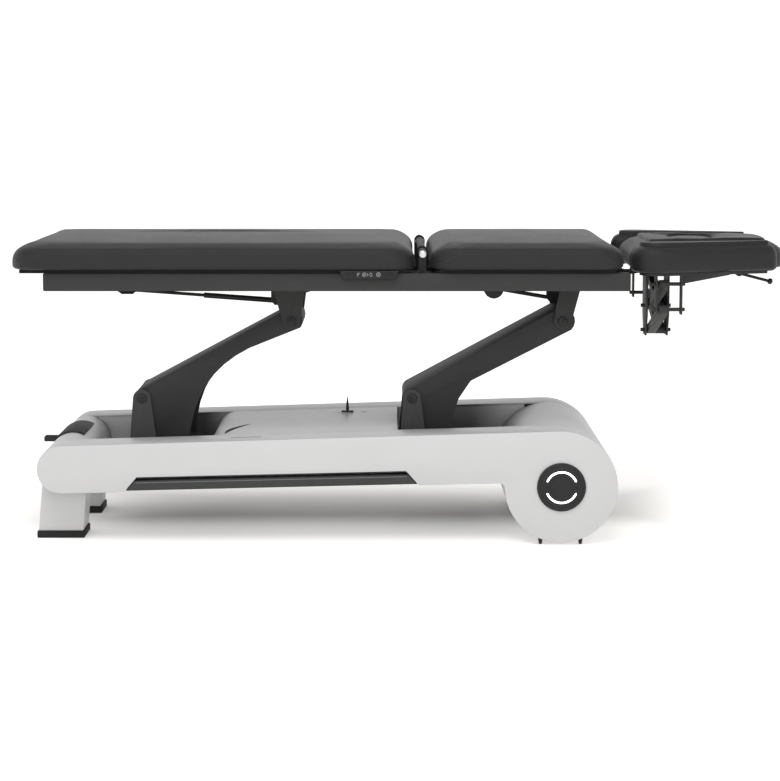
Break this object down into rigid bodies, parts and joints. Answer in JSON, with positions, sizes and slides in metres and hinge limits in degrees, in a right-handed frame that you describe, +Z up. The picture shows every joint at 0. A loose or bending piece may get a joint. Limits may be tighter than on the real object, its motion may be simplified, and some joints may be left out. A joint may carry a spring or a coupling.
{
  "type": "electric massage table",
  "caption": "Electric massage table with a white base, bell-crank lift arms, folding leg, back and head cushions, a face opening with a plug and drop-down armrests.",
  "frame": {"origin": "on the floor below the middle of the table's overall box", "axes": "+X towards the head end, +Z up, -Y towards the side shown in the picture"},
  "size_m": [2.049, 0.65, 0.8002],
  "materials": {
    "white_cover": "satin white moulded cover",
    "dark_steel": "dark grey powder coat",
    "black_plastic": "fine matte grain",
    "black_board": "plywood painted black",
    "light_guide": "white light guide",
    "rubber": "black moulded rubber",
    "bright_steel": "ground rod",
    "panel_gloss": "black touch panel",
    "leather": "dark grey satin leatherette"
  },
  "bodies": {
    "base": {"side_cover_near": "white_cover", "side_cover_far": "white_cover", "foot_end_cover": "white_cover", "drum_cover": "white_cover", "deck_cover": "white_cover", "deck_lever_base": "black_plastic", "chassis_rail_near": "white_cover", "chassis_rail_far": "white_cover", "foot_axle_tube": "dark_steel", "drum_end_frame": "black_plastic", "tower_foot": "dark_steel", "tower_head": "dark_steel", "foot_block_near": "white_cover", "foot_block_far": "white_cover", "foot_sole_near": "rubber", "foot_sole_far": "rubber", "hub_disc_near": "black_plastic", "hub_disc_far": "black_plastic", "light_arc_upper_near": "light_guide", "light_arc_upper_far": "light_guide", "light_arc_lower_near": "light_guide", "light_arc_lower_far": "light_guide", "foot_end_plate": "black_plastic"},
    "kick_bar_near": {"kick_bar_near": "dark_steel"},
    "kick_bar_far": {"kick_bar_far": "dark_steel"},
    "deck_lever": {"deck_lever": "dark_steel"},
    "foot_pedal": {"foot_pedal": "black_plastic"},
    "lift_tube": {"lift_actuator_tube": "black_plastic"},
    "lift_rod": {"lift_actuator_rod": "bright_steel"},
    "foot_arm": {"foot_arm": "dark_steel"},
    "head_arm": {"head_arm": "dark_steel"},
    "top_frame": {"rail_near": "dark_steel", "rail_far": "dark_steel", "frame_end_tube": "dark_steel", "bracket_foot": "dark_steel", "bracket_head": "dark_steel", "hinge_carrier": "dark_steel", "control_panel": "panel_gloss"},
    "leg_section": {"leg_pad": "leather", "leg_board": "black_board"},
    "leg_spring_tube": {"leg_spring_tube": "black_plastic"},
    "leg_spring_rod": {"leg_spring_rod": "bright_steel"},
    "back_section": {"back_pad": "leather", "back_board": "black_board"},
    "back_tube": {"back_actuator_tube": "black_plastic"},
    "back_rod": {"back_actuator_rod": "bright_steel"},
    "head_section": {"head_pad": "leather", "head_board": "black_board", "armrest_hanger": "dark_steel"},
    "face_plug": {"face_plug": "leather"},
    "release_lever": {"release_lever": "black_plastic"},
    "link_upper_near": {"link_upper_near": "dark_steel"},
    "link_lower_near": {"link_lower_near": "dark_steel"},
    "link_upper_far": {"link_upper_far": "dark_steel"},
    "link_lower_far": {"link_lower_far": "dark_steel"},
    "armrest_near": {"armrest_pad_near": "leather", "armrest_carrier_near": "dark_steel"},
    "armrest_far": {"armrest_pad_far": "leather", "armrest_carrier_far": "dark_steel"}
  },
  "joints": [
    {"name": "lift", "type": "hinge", "parent": "base", "child": "foot_arm", "pos_m": [-0.71, 0, 0.36], "axis": [0, -1, 0], "range_deg": [-28, 28]},
    {"name": "head_arm_turn", "type": "hinge", "parent": "base", "child": "head_arm", "pos_m": [0.02, 0, 0.36], "axis": [0, -1, 0], "range_deg": [-28.2, 28.2]},
    {"name": "frame_level", "type": "hinge", "parent": "foot_arm", "child": "top_frame", "pos_m": [-0.30479, 0, 0.56914], "axis": [0, -1, 0], "range_deg": [-28.2, 28.2]},
    {"name": "lift_tube_turn", "type": "hinge", "parent": "base", "child": "lift_tube", "pos_m": [-0.43, 0, 0.205], "axis": [0, -1, 0], "range_deg": [-3.61, 3.61]},
    {"name": "lift_rod_slide", "type": "slide", "parent": "lift_tube", "child": "lift_rod", "axis": [0.9978, 0, 0.0665], "range_m": [-0.0604, 0.0604]},
    {"name": "leg_tilt", "type": "hinge", "parent": "top_frame", "child": "leg_section", "pos_m": [0.0445, 0, 0.76514], "axis": [0, 1, 0], "range_deg": [0, 30]},
    {"name": "leg_spring_turn", "type": "hinge", "parent": "top_frame", "child": "leg_spring_tube", "pos_m": [-0.34449, 0, 0.61514], "axis": [0, 1, 0], "range_deg": [-0.2, 46.78]},
    {"name": "leg_spring_slide", "type": "slide", "parent": "leg_spring_tube", "child": "leg_spring_rod", "axis": [-0.9974, 0, 0.0722], "range_m": [-0.0005, 0.1639]},
    {"name": "back_tilt", "type": "hinge", "parent": "top_frame", "child": "back_section", "pos_m": [0.0445, 0, 0.76514], "axis": [0, -1, 0], "range_deg": [0, 60]},
    {"name": "back_tube_turn", "type": "hinge", "parent": "top_frame", "child": "back_tube", "pos_m": [0.0955, 0, 0.67514], "axis": [0, -1, 0], "range_deg": [-0.2, 62.49]},
    {"name": "back_rod_slide", "type": "slide", "parent": "back_tube", "child": "back_rod", "axis": [0.9856, 0, -0.1691], "range_m": [-0.0005, 0.1029]},
    {"name": "head_tilt", "type": "hinge", "parent": "back_section", "child": "head_section", "pos_m": [0.5785, 0, 0.70664], "axis": [0, -1, 0], "range_deg": [-35, 12]},
    {"name": "face_plug_lift", "type": "slide", "parent": "head_section", "child": "face_plug", "axis": [0, 0, 1], "range_m": [0, 0.09]},
    {"name": "release_pull", "type": "hinge", "parent": "head_section", "child": "release_lever", "pos_m": [0.9, -0.08, 0.69714], "axis": [0, -1, 0], "range_deg": [0, 10], "stiffness_Nm_per_rad": 2},
    {"name": "armrest_drop_near", "type": "hinge", "parent": "head_section", "child": "link_upper_near", "pos_m": [0.6645, 0, 0.60204], "axis": [1, 0, 0], "range_deg": [0, 40]},
    {"name": "armrest_link_near", "type": "hinge", "parent": "head_section", "child": "link_lower_near", "pos_m": [0.6645, 0, 0.53504], "axis": [1, 0, 0], "range_deg": [-0.2, 40.2]},
    {"name": "armrest_level_near", "type": "hinge", "parent": "link_upper_near", "child": "armrest_near", "pos_m": [0.6645, -0.235, 0.68204], "axis": [1, 0, 0], "range_deg": [-40.2, 0.2]},
    {"name": "armrest_drop_far", "type": "hinge", "parent": "head_section", "child": "link_upper_far", "pos_m": [0.6895, 0, 0.60204], "axis": [-1, 0, 0], "range_deg": [0, 40]},
    {"name": "armrest_link_far", "type": "hinge", "parent": "head_section", "child": "link_lower_far", "pos_m": [0.6895, 0, 0.53504], "axis": [-1, 0, 0], "range_deg": [-0.2, 40.2]},
    {"name": "armrest_level_far", "type": "hinge", "parent": "link_upper_far", "child": "armrest_far", "pos_m": [0.6895, 0.235, 0.68204], "axis": [-1, 0, 0], "range_deg": [-40.2, 0.2]},
    {"name": "kick_near", "type": "slide", "parent": "base", "child": "kick_bar_near", "axis": [0, 0, 1], "range_m": [-0.006, 0.001], "stiffness_N_per_m": 3000},
    {"name": "kick_far", "type": "slide", "parent": "base", "child": "kick_bar_far", "axis": [0, 0, 1], "range_m": [-0.006, 0.001], "stiffness_N_per_m": 3000},
    {"name": "deck_lever_turn", "type": "hinge", "parent": "base", "child": "deck_lever", "pos_m": [-0.159, 0.12, 0.29096], "axis": [0, 1, 0], "range_deg": [-10, 10]},
    {"name": "pedal_press", "type": "hinge", "parent": "base", "child": "foot_pedal", "pos_m": [-0.925, 0, 0.2258], "axis": [0, -1, 0], "range_deg": [0, 7], "stiffness_Nm_per_rad": 6}
  ],
  "couplings": [
    {"joint": "head_arm_turn", "follows": "lift", "ratio": 1},
    {"joint": "frame_level", "follows": "lift", "ratio": -1},
    {"joint": "lift_tube_turn", "follows": "lift", "ratio": 0.12189},
    {"joint": "lift_rod_slide", "follows": "lift", "m_per_rad": 0.12265},
    {"joint": "leg_spring_turn", "follows": "leg_tilt", "ratio": 1.5526},
    {"joint": "leg_spring_slide", "follows": "leg_tilt", "m_per_rad": 0.31203},
    {"joint": "back_tube_turn", "follows": "back_tilt", "ratio": 1.0382},
    {"joint": "back_rod_slide", "follows": "back_tilt", "m_per_rad": 0.097811},
    {"joint": "armrest_link_near", "follows": "armrest_drop_near", "ratio": 1},
    {"joint": "armrest_level_near", "follows": "armrest_drop_near", "ratio": -1},
    {"joint": "armrest_link_far", "follows": "armrest_drop_far", "ratio": 1},
    {"joint": "armrest_level_far", "follows": "armrest_drop_far", "ratio": -1}
  ]
}
